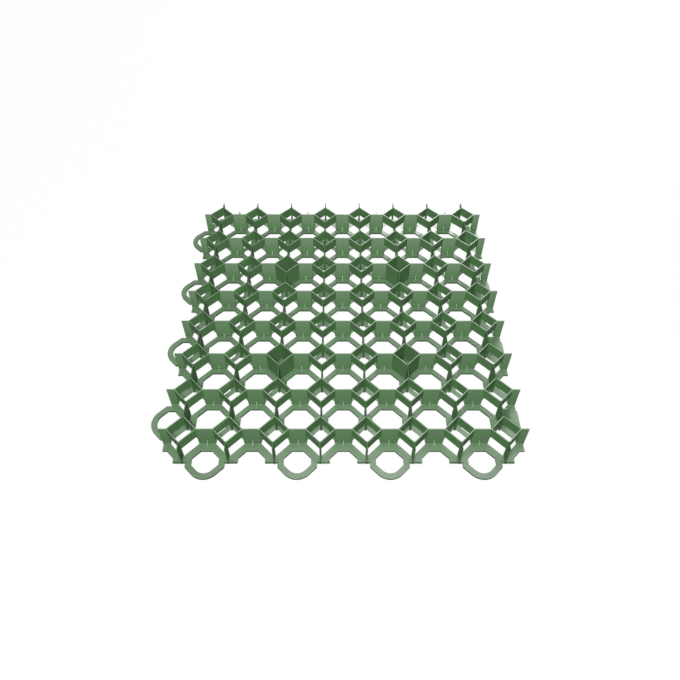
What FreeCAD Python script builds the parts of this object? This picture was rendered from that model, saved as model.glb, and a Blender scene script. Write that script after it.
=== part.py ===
"""Grass paver grid: one moulded lattice of octagon and diamond cells on a flanged base.

The tile lies flat with +Z up, millimetres, ground at Z = 0. Coupling loops stand out on its -X and -Y
edges; the gaps facing them on the +X and +Y edges are filled by tabs and carry buttress fins.
"""
import FreeCAD, Part
import math
import os
import Sketcher
from FreeCAD import Matrix, Rotation, Vector

NODE = "paver_grid"

# Edges are numbered anticlockwise from the -Y one, a quarter turn apart
EDGES = range(4)
LOOP_EDGES = (0, 3)
FIN_EDGES = (1, 2)
QUARTER_TURN = math.pi / 2

# Half a side of a regular octagon for an inradius of one
OCTAGON_SHARE = math.tan(math.pi / 8)

# Turns in degrees of the bars that open the diamonds' windows, and of a fin from lying to standing
WINDOW_TURNS = (45, -45)
STANDING_TURN = 90

# Driving sizes of the tile in millimetres, and its count of cells along a side
SIZES = {
    "tile_side": 500.0,
    "tile_height": 39.6,
    "cell_count": 8,
    "wall_thick": 1.3,
    "diamond_half": 19.8,
    "band_depth": 17.8,
    "post_width": 0.4,
    "window_round": 1.2,
    "flange_thick": 3.0,
    "flange_gap": 1.0,
    "stub_gap": 0.4,
    "lip_reach": 1.2,
    "lip_height": 0.9,
    "cell_inradius": 21.3,
    "edge_inradius": 18.5,
    "base_clear": 0.8,
    "base_corner": 1.9,
    "base_flare": 2.3,
    "loop_radius": 15.0,
    "loop_width": 8.2,
    "loop_back": 6.0,
    "fin_thick": 1.4,
    "fin_reach": 18.0,
    "fin_tip": 6.4,
}

# Sizes that follow from the driving ones
DERIVED = {
    "pitch": "tile_side / cell_count",
    "half_wall": "wall_thick / 2",
    "diamond_outer": "diamond_half + half_wall * sqrt(2)",
    "diamond_inner": "diamond_half - half_wall * sqrt(2)",
    "base_hole_half": "diamond_outer + base_clear",
    "base_hole_flat": "base_hole_half - base_corner",
    "base_foot_half": "base_hole_half + base_flare * sqrt(2)",
    "base_foot_flat": "base_hole_flat + base_flare",
    "window_top": "tile_height - band_depth",
    "window_half": "(diamond_half - half_wall) / sqrt(2) - post_width",
    "window_run": "2 * base_hole_half",
    "loop_outer_radius": "loop_radius + loop_width",
    "loop_outer_half": "edge_inradius + loop_width",
    "foot_width": "pitch - 2 * edge_inradius",
    "lip_edge": "tile_side / 2 - flange_gap",
    "flange_inset": "flange_gap + lip_reach",
    "footprint_shift": "(loop_outer_radius - flange_gap) / 2",
}

# The diamonds with solid walls and a closed floor, counted from zero along both edges
CLOSED_LINES = (2, 5)

doc = FreeCAD.newDocument("grass_paver_grid")


def build_sheet():
    """Write the driving sizes and their formulas into one sheet and name every cell."""
    table = doc.addObject("Spreadsheet::Sheet", "sizes")
    entries = {name: str(value) for name, value in SIZES.items()}
    entries.update({name: "=" + formula for name, formula in DERIVED.items()})
    for row, (name, content) in enumerate(entries.items(), start=1):
        table.set("A%d" % row, name)
        table.setAlias("B%d" % row, name)
        table.set("B%d" % row, content)
    doc.recompute()
    return table


sheet = build_sheet()


def size(name):
    """One size from the sheet."""
    return float(sheet.get(name))


def bind(feature, **formulas):
    """Tie properties of a feature to the sheet; double underscores stand for dots."""
    for name, formula in formulas.items():
        feature.setExpression(name.replace("__", "."), formula)


def turned(shape, quarter, x=0.0, y=0.0):
    """A copy of a shape moved in the plane and then turned by quarter turns about the tile's middle."""
    move = Matrix()
    move.move(Vector(x, y, 0))
    turn = Matrix()
    turn.rotateZ(quarter * QUARTER_TURN)
    return shape.transformed(turn * move, True)


def line_centres():
    """Positions of the diamond rows and columns along either axis."""
    first = (size("pitch") - size("tile_side")) / 2
    return [first + index * size("pitch") for index in range(int(size("cell_count")))]


def gap_centres():
    """Positions of the gaps between neighbouring diamonds along either axis."""
    return [position + size("pitch") / 2 for position in line_centres()[:-1]]


def closed_wire(points):
    """A closed outline through flat points."""
    corners = [Vector(x, y, 0) for x, y in points]
    return Part.makePolygon(corners + corners[:1])


def star(wide, narrow, centre):
    """Eight corners about a centre: each pair of coordinates in both orders and all signs."""
    ring = [(wide, narrow), (narrow, wide), (-narrow, wide), (-wide, narrow),
            (-wide, -narrow), (-narrow, -wide), (narrow, -wide), (wide, -narrow)]
    return [(centre[0] + x, centre[1] + y) for x, y in ring]


def diamond(half, centre):
    """Four corners of a diamond about a centre."""
    return [(centre[0] + half, centre[1]), (centre[0], centre[1] + half),
            (centre[0] - half, centre[1]), (centre[0], centre[1] - half)]


def flat_face(outline, holes):
    """A flat face inside an outline with every hole left open."""
    return Part.makeFace([outline] + [closed_wire(points) for points in holes], "Part::FaceMakerBullseye")


def is_closed_cell(column, row):
    """Whether a diamond is one of those with solid walls and a floor."""
    return column in CLOSED_LINES and row in CLOSED_LINES


def around_edges(paths):
    """One closed outline from a path for each edge, all drawn along the -Y edge."""
    points = []
    for quarter, path in zip(EDGES, paths):
        for x, y in path:
            for _ in range(quarter):
                x, y = -y, x
            points.append((x, y))
    return closed_wire(points)


def flange_edge(quarter):
    """The flange's outline along one edge: straight feet with half-octagon notches between them.

    The edges without loops fill every other gap with a tab out to the tile's side, opposite the loops of
    the next tile.
    """
    side_line = -size("tile_side") / 2
    inset = size("flange_inset")
    inradius = size("edge_inradius")
    corner_side = inradius * OCTAGON_SHARE
    notch = [(-inradius, inset), (-inradius, corner_side), (-corner_side, inradius),
             (corner_side, inradius), (inradius, corner_side), (inradius, inset)]
    tab = [(-inradius, inset), (-inradius, 0), (inradius, 0), (inradius, inset)]
    path = [(side_line + x, side_line + y) for x, y in notch[4:]]
    for number, centre in enumerate(gap_centres()):
        filled = quarter in FIN_EDGES and number % 2 == 0
        path += [(centre + x, side_line + y) for x, y in (tab if filled else notch)]
    path += [(-side_line + x, side_line + y) for x, y in notch[:2]]
    return path


def wall_edge():
    """The walls' outline along one edge: stubs short of the tile's side, with half cells between them."""
    stub_end = size("stub_gap") - size("tile_side") / 2
    half_wall = size("half_wall")
    middle = line_centres()[0]
    reach = size("diamond_outer") - half_wall
    path = []
    for centre in line_centres():
        path += [(centre - reach, middle - half_wall), (centre - half_wall, middle - reach),
                 (centre - half_wall, stub_end), (centre + half_wall, stub_end),
                 (centre + half_wall, middle - reach), (centre + reach, middle - half_wall)]
    return path[2:]


def build_flange():
    """The flat base sheet with its octagon cells and edge notches."""
    inradius = size("cell_inradius")
    cells = [star(inradius, inradius * OCTAGON_SHARE, (x, y)) for x in gap_centres() for y in gap_centres()]
    face = flat_face(around_edges([flange_edge(quarter) for quarter in EDGES]), cells)
    return face.extrude(Vector(0, 0, size("flange_thick")))


def build_walls():
    """The full-height lattice of straight walls and diamond walls."""
    half_pitch = size("pitch") / 2
    half_wall = size("half_wall")
    short = half_pitch - size("diamond_outer") + half_wall
    cells = [star(half_pitch - half_wall, short, (x, y)) for x in gap_centres() for y in gap_centres()]
    inner = [diamond(size("diamond_inner"), (x, y)) for x in line_centres() for y in line_centres()]
    face = flat_face(around_edges([wall_edge() for quarter in EDGES]), cells + inner)
    return face.extrude(Vector(0, 0, size("tile_height")))


def new_body(name):
    """An empty feature body used as a pattern for copies."""
    body = doc.addObject("PartDesign::Body", name)
    doc.recompute()
    return body


def build_window_bar():
    """A bar through two facing diamond walls that opens their windows; its upper edges are rounded."""
    body = new_body("window_bar")
    block = body.newObject("PartDesign::AdditiveBox", "window_block")
    bind(block, Length="sizes.window_run", Width="2 * sizes.window_half", Height="sizes.window_top",
         Placement__Base__x="-sizes.window_run / 2", Placement__Base__y="-sizes.window_half")
    doc.recompute()
    middle = size("window_top") / 2
    upper = ["Edge%d" % number for number, edge in enumerate(block.Shape.Edges, start=1)
             if edge.CenterOfMass.z > middle and abs(edge.CenterOfMass.x) < middle]
    rounding = body.newObject("PartDesign::Fillet", "window_corners")
    rounding.Base = (block, upper)
    bind(rounding, Radius="sizes.window_round")
    doc.recompute()
    return body


def loop_outline(body, name, half_width, radius):
    """A half-octagon outline with a round nose towards -Y, drawn about the middle of an edge gap.

    Straight sides run out from inside the tile, slanted sides follow at 45 degrees and touch the quarter
    round that closes the nose.
    """
    plane = next(item for item in body.Origin.OriginFeatures if item.Role == "XY_Plane")
    sketch = body.newObject("Sketcher::SketchObject", name)
    sketch.AttachmentSupport = [(plane, "")]
    sketch.MapMode = "FlatFace"
    side, nose_round, back = size(half_width), size(radius), size("loop_back")
    touch = nose_round / math.sqrt(2)
    knee = 2 * touch - side
    corners = [Vector(touch, -touch, 0), Vector(side, -knee, 0), Vector(side, back, 0),
               Vector(-side, back, 0), Vector(-side, -knee, 0), Vector(-touch, -touch, 0)]
    for start, end in zip(corners, corners[1:]):
        sketch.addGeometry(Part.LineSegment(start, end), False)
    circle = Part.Circle(Vector(0, 0, 0), Vector(0, 0, 1), nose_round)
    nose_start = -1.5 * QUARTER_TURN
    sketch.addGeometry(Part.ArcOfCircle(circle, nose_start, nose_start + QUARTER_TURN), False)
    right_slant, right_side, end_line, left_side, left_slant, nose = range(6)
    first, last, centre = 1, 2, 3
    origin_point, upright = (-1, 1), -2
    rules = [("Coincident", one, last, one + 1, first) for one in range(nose - 1)]
    rules += [
        ("Tangent", left_slant, last, nose, first),
        ("Tangent", nose, last, right_slant, first),
        ("Coincident", nose, centre, *origin_point),
        ("Vertical", right_side),
        ("Symmetric", end_line, first, end_line, last, upright),
        ("Symmetric", right_side, first, left_side, last, upright),
        ("Perpendicular", right_slant, left_slant),
    ]
    for rule in rules:
        sketch.addConstraint(Sketcher.Constraint(*rule))
    held = {
        half_width: ("DistanceX", *origin_point, end_line, first, side),
        "loop_back": ("DistanceY", *origin_point, end_line, first, back),
        radius: ("Radius", nose, nose_round),
    }
    for alias, rule in held.items():
        index = sketch.addConstraint(Sketcher.Constraint(*rule))
        sketch.renameConstraint(index, alias)
        sketch.setExpression("Constraints." + alias, "sizes." + alias)
    doc.recompute()
    return sketch


def build_loop():
    """A coupling loop on the -Y edge: the outer outline less the inner one."""
    body = new_body("loop")
    pad = body.newObject("PartDesign::Pad", "loop_pad")
    pad.Profile = loop_outline(body, "loop_outside", "loop_outer_half", "loop_outer_radius")
    bind(pad, Length="sizes.flange_thick")
    doc.recompute()
    pocket = body.newObject("PartDesign::Pocket", "loop_pocket")
    pocket.Profile = loop_outline(body, "loop_inside", "edge_inradius", "loop_radius")
    pocket.Reversed = True
    bind(pocket, Length="sizes.flange_thick")
    doc.recompute()
    return body


def build_lip():
    """The low lip along one foot of the -Y edge, rooted in the flange behind it."""
    lip = doc.addObject("Part::Box", "lip")
    bind(lip, Length="sizes.foot_width", Width="2 * sizes.lip_reach", Height="sizes.lip_height",
         Placement__Base__x="-sizes.foot_width / 2", Placement__Base__y="-sizes.lip_edge")
    return lip


def build_fin():
    """A buttress fin from a wall's face out over the filled gap, wide at its foot and narrow at its top."""
    fin = doc.addObject("Part::Wedge", "fin")
    bind(fin, Xmin="-sizes.fin_thick / 2", X2min="-sizes.fin_thick / 2", Xmax="sizes.fin_thick / 2",
         X2max="sizes.fin_thick / 2", Ymin="0 mm", Ymax="sizes.tile_height", Zmin="0 mm",
         Zmax="sizes.fin_reach", Z2min="0 mm", Z2max="sizes.fin_tip")
    fin.Placement.Rotation = Rotation(Vector(1, 0, 0), STANDING_TURN)
    return fin


def build_base_hole():
    """The opening in the flange under a diamond: flat corners, and wider at the ground than at the top."""
    hole = doc.addObject("Part::Feature", "base_hole")
    rings = []
    for name, height in (("base_foot", 0), ("base_hole", size("flange_thick"))):
        flat = size(name + "_flat")
        ring = closed_wire(star(flat, size(name + "_half") - flat, (0, 0)))
        ring.translate(Vector(0, 0, height))
        rings.append(ring)
    hole.Shape = Part.makeLoft(rings, True, True)
    return hole


def slanted(shape, angle):
    """A copy of a shape turned about the upright axis by degrees."""
    copy = shape.copy()
    copy.rotate(Vector(0, 0, 0), Vector(0, 0, 1), angle)
    return copy


def open_diamonds(shape, cutters):
    """Cut the same openings at every diamond that isn't closed."""
    places = [(x, y) for column, x in enumerate(line_centres()) for row, y in enumerate(line_centres())
              if not is_closed_cell(column, row)]
    return shape.cut([turned(cutter, 0, x, y) for x, y in places for cutter in cutters])


def build_grid():
    """The whole tile as one solid."""
    templates = {"bar": build_window_bar(), "hole": build_base_hole(), "loop": build_loop(),
                 "lip": build_lip(), "fin": build_fin()}
    doc.recompute()
    wall_face = line_centres()[0] - size("half_wall")
    coupled = gap_centres()[::2]
    loops = [turned(templates["loop"].Shape, quarter, x, -size("lip_edge")) for quarter in LOOP_EDGES
             for x in coupled]
    fins = [turned(templates["fin"].Shape, quarter, x, wall_face) for quarter in FIN_EDGES for x in coupled]
    lips = [turned(templates["lip"].Shape, quarter, x) for quarter in EDGES for x in line_centres()]
    hole = templates["hole"].Shape
    bars = [slanted(templates["bar"].Shape, angle) for angle in WINDOW_TURNS]
    walls = open_diamonds(build_walls(), bars + [hole])
    flange = open_diamonds(build_flange(), [hole])
    solid = flange.fuse([walls] + loops + fins + lips).removeSplitter()
    grid = doc.addObject("Part::Feature", NODE)
    grid.Label = NODE
    grid.Shape = solid.Solids[0]
    bind(grid, Placement__Base__x="sizes.footprint_shift", Placement__Base__y="sizes.footprint_shift")
    doc.recompute()
    if len(solid.Solids) != 1:
        raise RuntimeError("the tile isn't one solid")
    return grid


def check_objects():
    """Stop on any object that failed or has no sound shape."""
    for item in doc.Objects:
        if "Invalid" in item.State or "Error" in item.State:
            raise RuntimeError(item.Label + " failed")
        if hasattr(item, "Shape") and (item.Shape.isNull() or not item.Shape.isValid()):
            raise RuntimeError(item.Label + " has no sound shape")


def main():
    """Build, check and write the tile."""
    grid = build_grid()
    check_objects()
    os.makedirs("parts", exist_ok=True)
    grid.Shape.exportStep(os.path.join("parts", NODE + ".step"))
    print(grid.Label, grid.Shape.Volume, len(grid.Shape.Faces), grid.Shape.BoundBox)


main()
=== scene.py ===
"""Looks of a moulded grass paver grid, laid out as an add-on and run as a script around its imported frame."""
import math

import bmesh
import bpy
from bpy.props import FloatProperty, FloatVectorProperty, IntProperty, PointerProperty
from mathutils import Matrix, Vector


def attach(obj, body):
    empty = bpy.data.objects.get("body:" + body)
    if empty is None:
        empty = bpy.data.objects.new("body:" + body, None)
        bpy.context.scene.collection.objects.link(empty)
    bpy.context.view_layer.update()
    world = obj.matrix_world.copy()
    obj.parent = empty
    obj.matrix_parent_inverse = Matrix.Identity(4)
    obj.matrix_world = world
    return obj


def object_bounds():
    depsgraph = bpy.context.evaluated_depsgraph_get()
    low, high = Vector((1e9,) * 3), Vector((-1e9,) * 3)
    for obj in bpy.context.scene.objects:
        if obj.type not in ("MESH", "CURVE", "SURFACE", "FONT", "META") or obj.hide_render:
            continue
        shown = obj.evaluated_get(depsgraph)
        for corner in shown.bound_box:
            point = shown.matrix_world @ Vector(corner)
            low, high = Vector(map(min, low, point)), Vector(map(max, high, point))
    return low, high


bl_info = {
    "name": "Grass Paver Grid Looks",
    "version": (1, 0, 0),
    "blender": (4, 5, 0),
    "location": "View3D > Sidebar > Paver",
    "description": "Finishes a moulded ground grid, adds its small ribs and marks and sets the stage",
    "category": "Object",
}

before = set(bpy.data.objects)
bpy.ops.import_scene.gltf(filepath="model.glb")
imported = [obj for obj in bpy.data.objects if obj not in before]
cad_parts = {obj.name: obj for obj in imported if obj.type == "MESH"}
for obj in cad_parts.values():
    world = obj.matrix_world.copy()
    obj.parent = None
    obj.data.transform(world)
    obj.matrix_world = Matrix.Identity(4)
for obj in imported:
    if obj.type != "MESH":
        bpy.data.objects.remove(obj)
CAD_LOW, CAD_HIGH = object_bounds()
BODY = "root"
NODE = "paver_grid"
MM = 0.001


class LatticeSizes(bpy.types.PropertyGroup):
    """Sizes of the lattice and of its small relief."""

    tile_side: FloatProperty(name="Tile Side", description="Side of the square tile without its loops",
                             default=500 * MM, unit="LENGTH")
    cells: IntProperty(name="Cells", description="Diamonds along one side", default=8, min=1)
    wall: FloatProperty(name="Wall", description="Thickness of the upright walls", default=1.3 * MM,
                        unit="LENGTH")
    flange: FloatProperty(name="Flange", description="Thickness of the flat base", default=3 * MM,
                          unit="LENGTH")
    gusset_reach: FloatProperty(name="Gusset Reach", description="How far a gusset runs out on the flange",
                                default=4.5 * MM, unit="LENGTH")
    gusset_rise: FloatProperty(name="Gusset Rise", description="How far a gusset climbs up its wall",
                               default=6.5 * MM, unit="LENGTH")
    gusset_thick: FloatProperty(name="Gusset Thickness", description="Thickness of a gusset",
                                default=1.2 * MM, unit="LENGTH")
    sink: FloatProperty(name="Sink", description="How deep added relief is set into the lattice",
                        default=0.3 * MM, unit="LENGTH")
    mark_length: FloatProperty(name="Gate Mark Length", description="Length of a moulding mark on the flange",
                               default=10 * MM, unit="LENGTH")
    mark_width: FloatProperty(name="Gate Mark Width", description="Width of a moulding mark on the flange",
                              default=3.6 * MM, unit="LENGTH")
    mark_height: FloatProperty(name="Gate Mark Height", default=0.6 * MM, unit="LENGTH",
                               description="Height of a moulding mark over the flange")
    diamond_half: FloatProperty(name="Diamond Half", description="From a diamond's middle to its wall corner",
                                default=19.8 * MM, unit="LENGTH")
    window_top: FloatProperty(name="Window Top", description="Height of the windows in the diamond walls",
                              default=21.8 * MM, unit="LENGTH")
    post_foot: FloatProperty(name="Post Foot", default=1.6 * MM, unit="LENGTH",
                             description="Width of a corner post beside its wall, at the flange")
    post_head: FloatProperty(name="Post Head", default=1.4 * MM, unit="LENGTH",
                             description="Width of a corner post beside its wall, at the window's top")
    edge_round: FloatProperty(name="Edge Rounding", description="Rounding of moulded edges",
                              default=0.15 * MM, unit="LENGTH")


class PlasticFinish(bpy.types.PropertyGroup):
    """Colours and gloss of the moulded plastic, with its painted shade and highlights."""

    green: FloatVectorProperty(name="Green", description="Main colour of the plastic",
                               subtype="COLOR", size=3, default=(0.118, 0.25, 0.103), min=0, max=1)
    # Painted shade: faces that look sideways get this darker green; streaks bring it too
    side_shade_and_streak_green: FloatVectorProperty(name="Deep Green", description="Colour of the walls that face sideways",
                                    subtype="COLOR", size=3, default=(0.088, 0.198, 0.076), min=0, max=1)
    # Painted shade: the faces that look upward are darker and greyer than the main green
    top_shade_green: FloatVectorProperty(name="Top Green", description="Colour of the faces that look upward",
                                   subtype="COLOR", size=3, default=(0.113, 0.199, 0.104), min=0, max=1)
    # Pale colour of the painted highlights and sheen on gussets, high walls and wall tops, of wear and mottle,
    # and of the paler moulding marks
    highlight_and_wear: FloatVectorProperty(name="Bloom", description="Pale bloom on high walls and worn edges",
                               subtype="COLOR", size=3, default=(0.36, 0.48, 0.34), min=0, max=1)
    # Painted shade: this green darkens creases, the flange's upright edges, the column walls' tops and faces
    # square to a side or looking right
    shade_green: FloatVectorProperty(name="Edge Green", description="Colour of creases and upright edges",
                                    subtype="COLOR", size=3, default=(0.035, 0.072, 0.031), min=0, max=1)
    # Painted shade: the upward faces along the front are darker still
    front_shade_green: FloatVectorProperty(name="Front Green", subtype="COLOR", size=3, min=0, max=1,
                                     description="Colour of the upward faces along the front",
                                     default=(0.098, 0.165, 0.091))
    roughness: FloatProperty(name="Roughness", description="Mean roughness of the satin surface", default=0.5,
                             min=0, max=1)
    # Painted highlight: share of the pale colour on the thin gussets
    pale_share: FloatProperty(name="Rub", description="Share of bloom on the thin gussets", default=0.62,
                       min=0, max=1)
    # How much paler the moulding marks are than the lattice
    mark_pale_share: FloatProperty(name="Mark Rub", description="Share of bloom on the moulding marks", default=0.25,
                            min=0, max=1)


class StageSettings(bpy.types.PropertyGroup):
    """Camera, light and floor."""

    camera_place: FloatVectorProperty(name="Camera Place", description="Where the camera stands", size=3,
                                      subtype="TRANSLATION", default=(4.65 * MM, -642.003 * MM, 794.033 * MM))
    camera_pitch: FloatProperty(name="Camera Pitch", description="Angle that the camera looks down",
                                subtype="ANGLE", default=math.radians(46.695))
    camera_lens: FloatProperty(name="Camera Lens", description="Focal length in millimetres", default=33.418)
    camera_shift: FloatVectorProperty(name="Camera Shift", size=2, default=(0.00175, -0.0899),
                                      description="Sideways and upward shift of the picture")
    front_power: FloatProperty(name="Front Power", description="Power of the light at the camera",
                               default=10.6, unit="POWER")
    front_size: FloatProperty(name="Front Size", description="Side of the light at the camera",
                              default=0.15, unit="LENGTH")
    front_offset: FloatVectorProperty(name="Front Offset", size=3, subtype="TRANSLATION",
                                      description="How far the light at the camera stands off its axis",
                                      default=(-0.05, 0, 0))
    top_power: FloatProperty(name="Top Power", description="Power of the light straight above",
                             default=13.0, unit="POWER")
    top_size: FloatProperty(name="Top Size", description="Side of the light straight above",
                            default=1.2, unit="LENGTH")
    top_place: FloatVectorProperty(name="Top Place", description="Where the light straight above hangs",
                                   size=3, subtype="TRANSLATION", default=(0, 0, 2.4))
    back_power: FloatProperty(name="Back Power", description="Power of the light behind the tile",
                              default=24.0, unit="POWER")
    back_size: FloatProperty(name="Back Size", description="Side of the light behind the tile",
                             default=0.9, unit="LENGTH")
    back_place: FloatVectorProperty(name="Back Place", description="Where the light behind the tile stands",
                                    size=3, subtype="TRANSLATION", default=(0.5, 1.7, 0.7))
    ambient: FloatProperty(name="Ambient", description="Strength of the even light all round", default=0.02)
    floor_side: FloatProperty(name="Floor Side", description="Side of the floor", default=8.0, unit="LENGTH")
    floor_colour: FloatVectorProperty(name="Floor Colour", description="Colour of the floor where it is seen",
                                      subtype="COLOR", size=3, default=(0.95, 0.95, 0.95), min=0, max=1)
    floor_bounce: FloatVectorProperty(name="Floor Bounce", subtype="COLOR", size=3, min=0, max=1,
                                      description="Colour of the light that the floor throws back",
                                      default=(0.1, 0.1, 0.1))
    floor_white: FloatProperty(name="Floor White", default=0.97, min=0, max=1,
                               description="Share of the floor's picture that is plain white")


class Wire:
    """A socket of a node tree that takes part in arithmetic; every operation adds its own node."""

    def __init__(self, tree, socket):
        self.tree = tree
        self.socket = socket

    def node(self, kind, settings=None, **inputs):
        """Add any node: settings first, then sockets by name or by number after an underscore."""
        made = self.tree.nodes.new(kind)
        for name, value in (settings or {}).items():
            setattr(made, name, value)
        for name, value in inputs.items():
            key = int(name[1:]) if name[1:].isdigit() else name.replace("_", " ")
            feed(self.tree, made.inputs[key], value)
        return made

    def out(self, made, name=0):
        """One output of a node as a wire."""
        return Wire(self.tree, made.outputs[name])

    def maths(self, operation, *values):
        """A value worked out by one Math node."""
        sockets = {"_%d" % number: value for number, value in enumerate(values)}
        return self.out(self.node("ShaderNodeMath", {"operation": operation}, **sockets))

    def __add__(self, other):
        return self.maths("ADD", self, other)

    __radd__ = __add__

    def __sub__(self, other):
        return self.maths("SUBTRACT", self, other)

    def __rsub__(self, other):
        return self.maths("SUBTRACT", other, self)

    def __mul__(self, other):
        return self.maths("MULTIPLY", self, other)

    __rmul__ = __mul__

    def smooth(self, low, high):
        """Nought below low, one above high and an even rise between them."""
        made = self.node("ShaderNodeMapRange", {"interpolation_type": "SMOOTHSTEP"}, Value=self, From_Min=low,
                         From_Max=high)
        return self.out(made)

    def mix(self, one, two):
        """A colour between two others, by this wire."""
        made = self.node("ShaderNodeMix", {"data_type": "RGBA"}, _0=self, _6=one, _7=two)
        return self.out(made, 2)


def feed(tree, socket, value):
    """Link a wire to a socket or set the socket's own value."""
    if isinstance(value, Wire):
        tree.links.new(value.socket, socket)
    else:
        socket.default_value = value


def opaque(colour):
    """A colour with full alpha."""
    return (*colour, 1.0)


def new_material(name):
    """An empty node material, its principled shader and a wire to start from."""
    material = bpy.data.materials.new(name)
    material.use_nodes = True
    tree = material.node_tree
    shader = tree.nodes["Principled BSDF"]
    place = tree.nodes.new("ShaderNodeTexCoord")
    return material, shader, Wire(tree, place.outputs["Object"])


# Noises of the plastic: scale and detail of each
STREAK_NOISE = (14.0, 4.0)
MOTTLE_NOISE = (260.0, 3.0)
WEAR_NOISE = (90.0, 5.0)
FINE_GRAIN = (2400.0, 2.0)
COARSE_GRAIN = (340.0, 2.0)

# Values of their noise between which streaks and wear come in
STREAKED = (0.35, 0.7)
WORN = (0.42, 0.68)

# The coarse grain's share against the fine one, and how strong and deep the grain is
COARSE_SHARE = 0.6
GRAIN_STRENGTH = 0.12
GRAIN_DEPTH = 0.2 * MM

# Parts of a face's direction between which it comes to count as upward, sideways or square to a side
UPWARD = (0.35, 0.95)
SIDEWAYS = (0.3, 0.7)
SQUARE = (0.8, 0.97)

# How far the painted shade of the crease between flange and walls reaches up
CREASE = 1.6 * MM

# How far in from the front the upward faces carry more painted shade
FRONT_REACH = 45 * MM

# Sheen of the upward faces at the left, its growth to the right, how far it grows and what the mottle adds
SHEEN_LEFT = 0.24
SHEEN_GROWTH = 0.66
SHEEN_REACH = 360 * MM
SHEEN_MOTTLE = 0.2

# Distance from a column's line, in wall thicknesses, over which the tops of its walls end
RIDGE_END = (0.5, 0.8)

# Shares of the darker green: painted shade on faces that look sideways, and the real tone of streaks
SIDE_SHADE = 0.85
DEEP_STREAKS = 0.15

# Shares of the painted shade in the crease, on the column walls' tops, on square faces and on those that look
# right
SHADE_CREASE = 0.85
SHADE_RIDGE = 0.6
SHADE_SQUARE = 0.15
SHADE_RIGHT = 0.25

# Painted sheen on high walls at the front, its growth to the back, and where it starts in tile heights
WALL_SHEEN_FRONT = 0.15
WALL_SHEEN_GROWTH = 0.28
WALL_SHEEN_START = -0.1

# Painted highlight on wall tops, the pale that wear adds there, and the pale that the mottle adds everywhere
TOP_HIGHLIGHT = 0.08
WEAR_BLOOM = 0.2
MOTTLE_BLOOM = 0.05

# Gloss: how far the mottle spreads the roughness, the waxy coat of upward faces and the plastic under it
ROUGHNESS_SPREAD = 0.16
COAT_ROUGHNESS = 0.36
COAT_IOR = 2.15
PLASTIC_IOR = 1.5
PLASTIC_SPECULAR = 0.02


def noise(place, scale, detail):
    """One noise over a piece."""
    made = place.node("ShaderNodeTexNoise", None, Vector=place, Scale=scale, Detail=detail)
    return place.out(made, "Fac")


def directions(place):
    """How far a face looks upward, to either side, squarely to a side and squarely to the right."""
    facing = place.node("ShaderNodeNewGeometry")
    turned = place.node("ShaderNodeSeparateXYZ", None, Vector=place.out(facing, "Normal"))
    right = place.out(turned, "X")
    aside = place.maths("ABSOLUTE", right)
    upward = place.out(turned, "Z").smooth(*UPWARD)
    return upward, aside.smooth(*SIDEWAYS), aside.smooth(*SQUARE), right.smooth(*SQUARE)


def near_column(across, sizes):
    """One along the lines of the walls that run front to back and nought beside them."""
    pitch = sizes.tile_side / sizes.cells
    distance = across.maths("PINGPONG", across - (tile_middle(sizes).x + pitch / 2), pitch / 2)
    start, end = RIDGE_END
    return 1.0 - distance.smooth(start * sizes.wall, end * sizes.wall)


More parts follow.
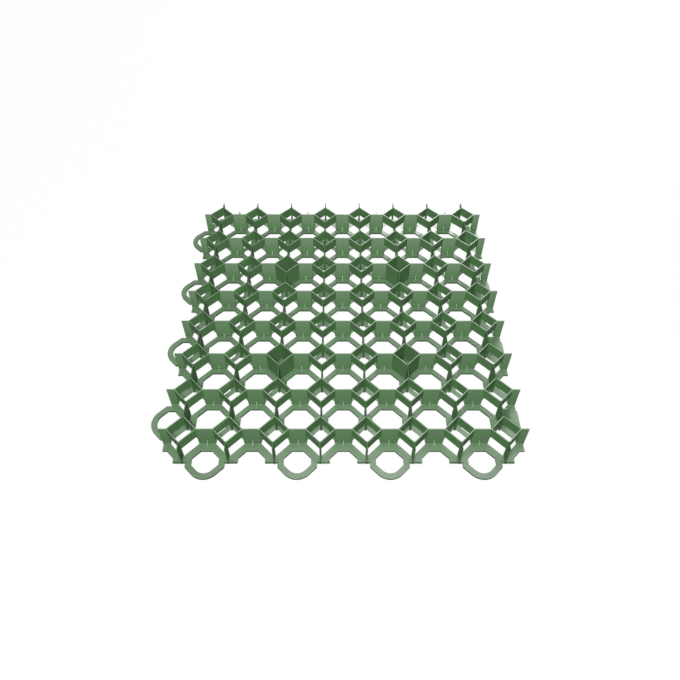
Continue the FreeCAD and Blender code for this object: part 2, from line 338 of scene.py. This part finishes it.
def moulded_plastic(name, pale_share, finish, sizes):
    """Satin green plastic: painted shade on sideways walls, creases, column tops and upward faces, painted
    sheen and highlights on high walls and wall tops, a waxy coat on upward faces and a fine grain.
    """
    material, shader, place = new_material(name)
    tree = material.node_tree
    parts = place.node("ShaderNodeSeparateXYZ", None, Vector=place)
    across, depth, height = (place.out(parts, axis) for axis in "XYZ")
    upward, sideways, square, rightward = directions(place)
    streaks = noise(place, *STREAK_NOISE).smooth(*STREAKED)
    mottle = noise(place, *MOTTLE_NOISE)
    wear = noise(place, *WEAR_NOISE).smooth(*WORN)

    top = height.smooth(CAD_HIGH.z - sizes.wall / 2, CAD_HIGH.z - sizes.edge_round / 2)
    ridge = near_column(across, sizes) * top
    # Painted shade at the foot of the walls and on the flange's upright edges
    low = 1.0 - height.smooth(sizes.flange, sizes.flange + CREASE)
    front = 1.0 - depth.smooth(CAD_LOW.y, CAD_LOW.y + FRONT_REACH)
    # Painted sheen: walls that face front or back grow paler toward their tops and toward the back
    backward = depth.smooth(CAD_LOW.y, CAD_HIGH.y)
    high = height.smooth(WALL_SHEEN_START * CAD_HIGH.z, CAD_HIGH.z) * (WALL_SHEEN_FRONT + WALL_SHEEN_GROWTH * backward)
    shiny = upward * (1.0 - ridge)

    # Painted shade on faces that look sideways, plus the real tone of streaks
    side_shade_and_streaks = SIDE_SHADE * sideways + DEEP_STREAKS * streaks
    walls = side_shade_and_streaks.mix(opaque(finish.green), opaque(finish.side_shade_and_streak_green))
    # Painted shade in the crease, on the column walls' tops, on square faces and on faces that look right
    painted_shade = SHADE_CREASE * low + SHADE_RIDGE * ridge + SHADE_SQUARE * square + SHADE_RIGHT * rightward
    shaded_walls = place.maths("MINIMUM", painted_shade, 1.0).mix(walls, opaque(finish.shade_green))
    # Painted shade on the upward faces, darker along the front
    tops = front.mix(opaque(finish.top_shade_green), opaque(finish.front_shade_green))
    body = shiny.mix(shaded_walls, tops)
    # Painted highlight on the wall tops, with real wear there and mottle everywhere
    highlit_and_worn = (top - ridge) * (TOP_HIGHLIGHT + WEAR_BLOOM * wear) + MOTTLE_BLOOM * mottle
    # Pale share: the gussets' painted highlight or the marks' paler tone, the painted sheen of walls facing
    # front or back, and the wall tops' painted highlight with wear and mottle
    pale = pale_share + (1.0 - sideways) * (1.0 - upward) * high + highlit_and_worn
    # The pale share mixes in the colour of painted highlights, painted sheen, wear and mottle
    feed(tree, shader.inputs["Base Color"], place.maths("MINIMUM", pale, 1.0).mix(body, opaque(finish.highlight_and_wear)))

    feed(tree, shader.inputs["Roughness"], finish.roughness + ROUGHNESS_SPREAD * (mottle - 0.5))
    rightness = across.smooth(CAD_LOW.x, CAD_LOW.x + SHEEN_REACH)
    sheen = SHEEN_LEFT + SHEEN_GROWTH * rightness + SHEEN_MOTTLE * mottle
    feed(tree, shader.inputs["Coat Weight"], shiny * sheen)
    shader.inputs["Coat Roughness"].default_value = COAT_ROUGHNESS
    shader.inputs["Coat IOR"].default_value = COAT_IOR
    shader.inputs["IOR"].default_value = PLASTIC_IOR
    shader.inputs["Specular IOR Level"].default_value = PLASTIC_SPECULAR
    grain = noise(place, *FINE_GRAIN) + COARSE_SHARE * noise(place, *COARSE_GRAIN)
    bump = place.node("ShaderNodeBump", None, Strength=GRAIN_STRENGTH, Distance=GRAIN_DEPTH, Height=grain)
    feed(tree, shader.inputs["Normal"], place.out(bump))
    return material


def seen_directly(wire):
    """One for what the camera sees itself, in gloss or through glass, and nought for falling light."""
    path = wire.node("ShaderNodeLightPath")
    rays = [wire.out(path, name) for name in ("Is Camera Ray", "Is Glossy Ray", "Is Transmission Ray")]
    return wire.maths("MINIMUM", sum(rays), 1.0)


FLOOR_ROUGHNESS = 0.9

# How far the floor lies under the tile
FLOOR_DROP = 0.1 * MM


def floor_white(stage):
    """A white floor: the picture sees mostly plain white and part of the light that falls on it."""
    material, shader, place = new_material("white_floor")
    tree = material.node_tree
    seen = seen_directly(place)
    feed(tree, shader.inputs["Base Color"], seen.mix(opaque(stage.floor_bounce), opaque(stage.floor_colour)))
    shader.inputs["Roughness"].default_value = FLOOR_ROUGHNESS
    plain = place.node("ShaderNodeEmission", None, Color=(1.0, 1.0, 1.0, 1.0), Strength=1.0)
    lit = Wire(tree, shader.outputs[0])
    blend = place.node("ShaderNodeMixShader", None, _0=seen * stage.floor_white, _1=lit, _2=place.out(plain))
    feed(tree, tree.nodes["Material Output"].inputs["Surface"], place.out(blend))
    return material


# The front light's distance from the tile against the camera's
BEHIND_CAMERA = 1.06


def fade_evenly(lamp):
    """Let a lamp's light fade with distance and not with its square, as from a light further off."""
    lamp.use_nodes = True
    tree = lamp.node_tree
    emission = tree.nodes["Emission"]
    wire = Wire(tree, emission.outputs[0])
    fade = wire.node("ShaderNodeLightFalloff", None, Strength=1.0)
    feed(tree, emission.inputs["Strength"], wire.out(fade, "Linear"))


def lines(sizes):
    """Positions of the rows of diamonds along either side, on the tile's own middle."""
    pitch = sizes.tile_side / sizes.cells
    return [(index + 0.5) * pitch - sizes.tile_side / 2 for index in range(sizes.cells)]


def gaps(sizes):
    """Positions of the gaps between neighbouring diamonds."""
    pitch = sizes.tile_side / sizes.cells
    return [line + pitch / 2 for line in lines(sizes)[:-1]]


def tile_middle(sizes):
    """The tile's own middle: the loops widen the frame's box on the low sides only."""
    return Vector((CAD_HIGH.x - sizes.tile_side / 2, CAD_HIGH.y - sizes.tile_side / 2, 0))


# Diamond row from the front and gap from the left of the walls that carry a moulding mark
MARKED_WALLS = ((6, 1), (6, 5), (4, 3), (1, 1), (1, 5))

# Points around a moulding mark, how much its outline swells, the waves of the swelling and the top's share
MARK_POINTS = 14
MARK_SWELL = 0.15
MARK_WAVES = (3, 2)
MARK_TOP = 0.8

# Rounding of edges: steps of the bevel, the bend that makes an edge sharp and the distance of joined points
BEVEL_STEPS = 2
SHARP_BEND = math.radians(40)
JOIN_DISTANCE = 0.001 * MM


def add_piece(name, mesh, material):
    """Put a mesh in the scene as a piece of the tile."""
    piece = bpy.data.objects.new(name, mesh)
    bpy.context.scene.collection.objects.link(piece)
    piece.data.materials.append(material)
    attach(piece, BODY)
    return piece


def round_edges(piece, width):
    """Round a piece's sharp edges with a small bevel."""
    bevel = piece.modifiers.new("moulded_edges", "BEVEL")
    bevel.width = width
    bevel.segments = BEVEL_STEPS
    bevel.limit_method = "ANGLE"
    bevel.angle_limit = SHARP_BEND
    bevel.use_clamp_overlap = True


def plastic(name="moulded_green_plastic", pale_share=0.0):
    """One of the grid's plastics, made once."""
    scene = bpy.context.scene
    return bpy.data.materials.get(name) or moulded_plastic(name, pale_share, scene.paver_finish, scene.paver_sizes)


class PAVER_OT_finish_lattice(bpy.types.Operator):
    """Give the moulded lattice its plastic and rounded edges"""

    bl_idname = "paver.finish_lattice"
    bl_label = "Finish Lattice"

    def execute(self, context):
        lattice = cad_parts[NODE]
        lattice.data.materials.clear()
        lattice.data.materials.append(plastic())
        weld = lattice.modifiers.new("joined_faces", "WELD")
        weld.merge_threshold = JOIN_DISTANCE
        round_edges(lattice, context.scene.paver_sizes.edge_round)
        return {"FINISHED"}


def block(bm, low, high):
    """A closed block between two rings of corners."""
    below = [bm.verts.new(point) for point in low]
    above = [bm.verts.new(point) for point in high]
    bm.faces.new(reversed(below))
    bm.faces.new(above)
    for first in range(len(below)):
        second = (first + 1) % len(below)
        bm.faces.new((below[first], below[second], above[second], above[first]))


def mesh_from(bm, name):
    """Turn what was drawn into a mesh with a name."""
    bm.normal_update()
    mesh = bpy.data.meshes.new(name)
    bm.to_mesh(mesh)
    bm.free()
    return mesh


def wedge(bm, sizes, turn, place):
    """One triangular gusset before a wall, turned about Z and moved to its place."""
    half = sizes.gusset_thick / 2
    low = sizes.flange - sizes.sink
    toe = sizes.flange + sizes.sink
    top = sizes.flange + sizes.gusset_rise
    reach = -sizes.gusset_reach
    profile = [(sizes.sink, low), (reach, low), (reach, toe), (0, top), (sizes.sink, top)]
    matrix = Matrix.Translation(place) @ Matrix.Rotation(turn, 4, "Z")
    block(bm, *([matrix @ Vector((x, y, z)) for y, z in profile] for x in (-half, half)))


class PAVER_OT_add_gussets(bpy.types.Operator):
    """Add the small triangular gussets at the foot of every straight wall"""

    bl_idname = "paver.add_gussets"
    bl_label = "Add Wall Gussets"

    def execute(self, context):
        sizes = context.scene.paver_sizes
        middle = tile_middle(sizes)
        face = sizes.wall / 2
        last = sizes.cells - 1
        bm = bmesh.new()
        for row, line in enumerate(lines(sizes)):
            for number, gap in enumerate(gaps(sizes)):
                finned = row == last and number % 2 == 0
                wedge(bm, sizes, 0, middle + Vector((gap, line - face, 0)))
                wedge(bm, sizes, math.radians(-90), middle + Vector((line - face, gap, 0)))
                if not finned:
                    wedge(bm, sizes, math.radians(180), middle + Vector((gap, line + face, 0)))
                    wedge(bm, sizes, math.radians(90), middle + Vector((line + face, gap, 0)))
        # Painted highlight: the gussets get a paler plastic
        highlit_plastic = plastic("highlit_green_plastic", context.scene.paver_finish.pale_share)
        gussets = add_piece("wall_gussets", mesh_from(bm, "wall_gussets"), highlit_plastic)
        round_edges(gussets, sizes.edge_round / 2)
        return {"FINISHED"}


# Diamond rows and columns from the front left whose closed cells have no posts
CLOSED_LINES = (2, 5)

# A post's share of the wall's thickness, so that its faces stay just inside the wall's
POST_SHARE = 0.96


def post(bm, sizes, centre, across, along):
    """One side of a corner post: a strip of diamond wall beside the wall that runs front to back."""
    wall = Vector((across, -along, 0)).normalized()
    outward = Vector((across, along, 0)).normalized() * sizes.wall / 2 * POST_SHARE
    corner = centre + Vector((0, along * sizes.diamond_half, 0))
    rings = []
    for width, height in ((sizes.post_foot, sizes.flange), (sizes.post_head, sizes.window_top + sizes.sink)):
        far = corner + wall * width
        ends = [corner + outward, far + outward, far - outward, corner - outward]
        ring = [point + Vector((0, 0, height)) for point in ends]
        rings.append(ring if across * along < 0 else ring[::-1])
    block(bm, *rings)


class PAVER_OT_add_posts(bpy.types.Operator):
    """Add the flared corner posts between the windows of every open diamond"""

    bl_idname = "paver.add_posts"
    bl_label = "Add Corner Posts"

    def execute(self, context):
        sizes = context.scene.paver_sizes
        middle = tile_middle(sizes)
        bm = bmesh.new()
        for row, y in enumerate(lines(sizes)):
            for column, x in enumerate(lines(sizes)):
                if row in CLOSED_LINES and column in CLOSED_LINES:
                    continue
                for across in (-1, 1):
                    for along in (-1, 1):
                        post(bm, sizes, middle + Vector((x, y, 0)), across, along)
        add_piece("corner_posts", mesh_from(bm, "corner_posts"), plastic())
        return {"FINISHED"}


def smudge(bm, sizes, corner, seed):
    """One low uneven pad on the flange, from a corner at the wall's foot toward the right and the front."""
    half = Vector((sizes.mark_length / 2, sizes.mark_width / 2, 0))
    first_wave, second_wave = MARK_WAVES
    foot = Vector((0, 0, sizes.flange - sizes.sink))
    head = Vector((0, 0, sizes.flange + sizes.mark_height))
    centre = corner + Vector((half.x, -half.y, 0))
    ring = []
    for step in range(MARK_POINTS):
        angle = step * 2 * math.pi / MARK_POINTS
        wave = math.sin(first_wave * angle + seed) * math.cos(second_wave * angle - seed)
        swell = 1 - MARK_SWELL + MARK_SWELL * wave
        ring.append(Vector((half.x * math.cos(angle), half.y * math.sin(angle), 0)) * swell)
    low = [centre + point + foot for point in ring]
    high = [centre + MARK_TOP * point + head for point in ring]
    block(bm, low, high)


class PAVER_OT_add_marks(bpy.types.Operator):
    """Add the plain moulding marks at the foot of a few walls"""

    bl_idname = "paver.add_marks"
    bl_label = "Add Moulding Marks"

    def execute(self, context):
        sizes = context.scene.paver_sizes
        middle = tile_middle(sizes)
        bm = bmesh.new()
        for row, gap in MARKED_WALLS:
            foot = Vector((gaps(sizes)[gap], lines(sizes)[row] - sizes.wall / 2, 0))
            smudge(bm, sizes, middle + foot, row + gap)
        marked = plastic("marked_green_plastic", context.scene.paver_finish.mark_pale_share)
        add_piece("moulding_marks", mesh_from(bm, "moulding_marks"), marked)
        return {"FINISHED"}


class PAVER_OT_set_stage(bpy.types.Operator):
    """Set the floor, the light and the camera"""

    bl_idname = "paver.set_stage"
    bl_label = "Set Stage"

    def execute(self, context):
        stage = context.scene.paver_stage
        context.scene.view_settings.view_transform = "Standard"
        self.lay_floor(stage)
        self.light(context, stage)
        self.place_camera(context, stage)
        return {"FINISHED"}

    def lay_floor(self, stage):
        """A wide flat floor just under the tile."""
        bm = bmesh.new()
        bmesh.ops.create_grid(bm, x_segments=1, y_segments=1, size=stage.floor_side / 2)
        floor = bpy.data.objects.new("floor", mesh_from(bm, "floor"))
        floor.location.z = CAD_LOW.z - FLOOR_DROP
        bpy.context.scene.collection.objects.link(floor)
        floor.data.materials.append(floor_white(stage))

    def light(self, context, stage):
        """White surroundings, a light at the camera, one above and one behind."""
        world = bpy.data.worlds.new("studio")
        context.scene.world = world
        world.use_nodes = True
        background = world.node_tree.nodes["Background"]
        background.inputs["Color"].default_value = (1.0, 1.0, 1.0, 1.0)
        around = Wire(world.node_tree, background.outputs[0])
        feed(world.node_tree, background.inputs["Strength"],
             stage.ambient + (1.0 - stage.ambient) * seen_directly(around))
        behind = Vector(stage.camera_place) * BEHIND_CAMERA + Vector(stage.front_offset)
        fade_evenly(self.add_lamp("front_light", stage.front_power, stage.front_size, behind))
        self.add_lamp("top_light", stage.top_power, stage.top_size, Vector(stage.top_place))
        self.add_lamp("back_light", stage.back_power, stage.back_size, Vector(stage.back_place))

    def add_lamp(self, name, power, size, place):
        """A square soft light aimed at the tile."""
        lamp = bpy.data.lights.new(name, "AREA")
        lamp.energy = power
        lamp.size = size
        holder = bpy.data.objects.new(name, lamp)
        holder.location = place
        holder.rotation_mode = "QUATERNION"
        holder.rotation_quaternion = (-place).to_track_quat("-Z", "Y")
        bpy.context.scene.collection.objects.link(holder)
        return lamp

    def place_camera(self, context, stage):
        """The camera at the photograph's place and angle."""
        lens = bpy.data.cameras.new("photo_camera")
        lens.lens = stage.camera_lens
        lens.shift_x, lens.shift_y = stage.camera_shift
        camera = bpy.data.objects.new("photo_camera", lens)
        camera.location = stage.camera_place
        camera.rotation_euler = (math.radians(90) - stage.camera_pitch, 0, 0)
        bpy.context.scene.collection.objects.link(camera)
        context.scene.camera = camera


OPERATORS = (PAVER_OT_finish_lattice, PAVER_OT_add_gussets, PAVER_OT_add_posts, PAVER_OT_add_marks,
             PAVER_OT_set_stage)


class PAVER_PT_panel(bpy.types.Panel):
    """Sidebar panel with the paver grid's steps"""

    bl_label = "Paver Grid"
    bl_space_type = "VIEW_3D"
    bl_region_type = "UI"
    bl_category = "Paver"

    def draw(self, context):
        for operator in OPERATORS:
            self.layout.operator(operator.bl_idname)


GROUPS = {"paver_sizes": LatticeSizes, "paver_finish": PlasticFinish, "paver_stage": StageSettings}


def register():
    """Register the property groups, operators and panel."""
    for name, group in GROUPS.items():
        bpy.utils.register_class(group)
        setattr(bpy.types.Scene, name, PointerProperty(type=group))
    for kind in (*OPERATORS, PAVER_PT_panel):
        bpy.utils.register_class(kind)


def unregister():
    """Take everything out again in reverse order."""
    for kind in reversed((*OPERATORS, PAVER_PT_panel)):
        bpy.utils.unregister_class(kind)
    for name, group in reversed(GROUPS.items()):
        delattr(bpy.types.Scene, name)
        bpy.utils.unregister_class(group)


def main():
    """Build the looks in order."""
    register()
    bpy.ops.paver.finish_lattice()
    bpy.ops.paver.add_gussets()
    bpy.ops.paver.add_posts()
    bpy.ops.paver.add_marks()
    bpy.ops.paver.set_stage()


if __name__ == "__main__":
    main()
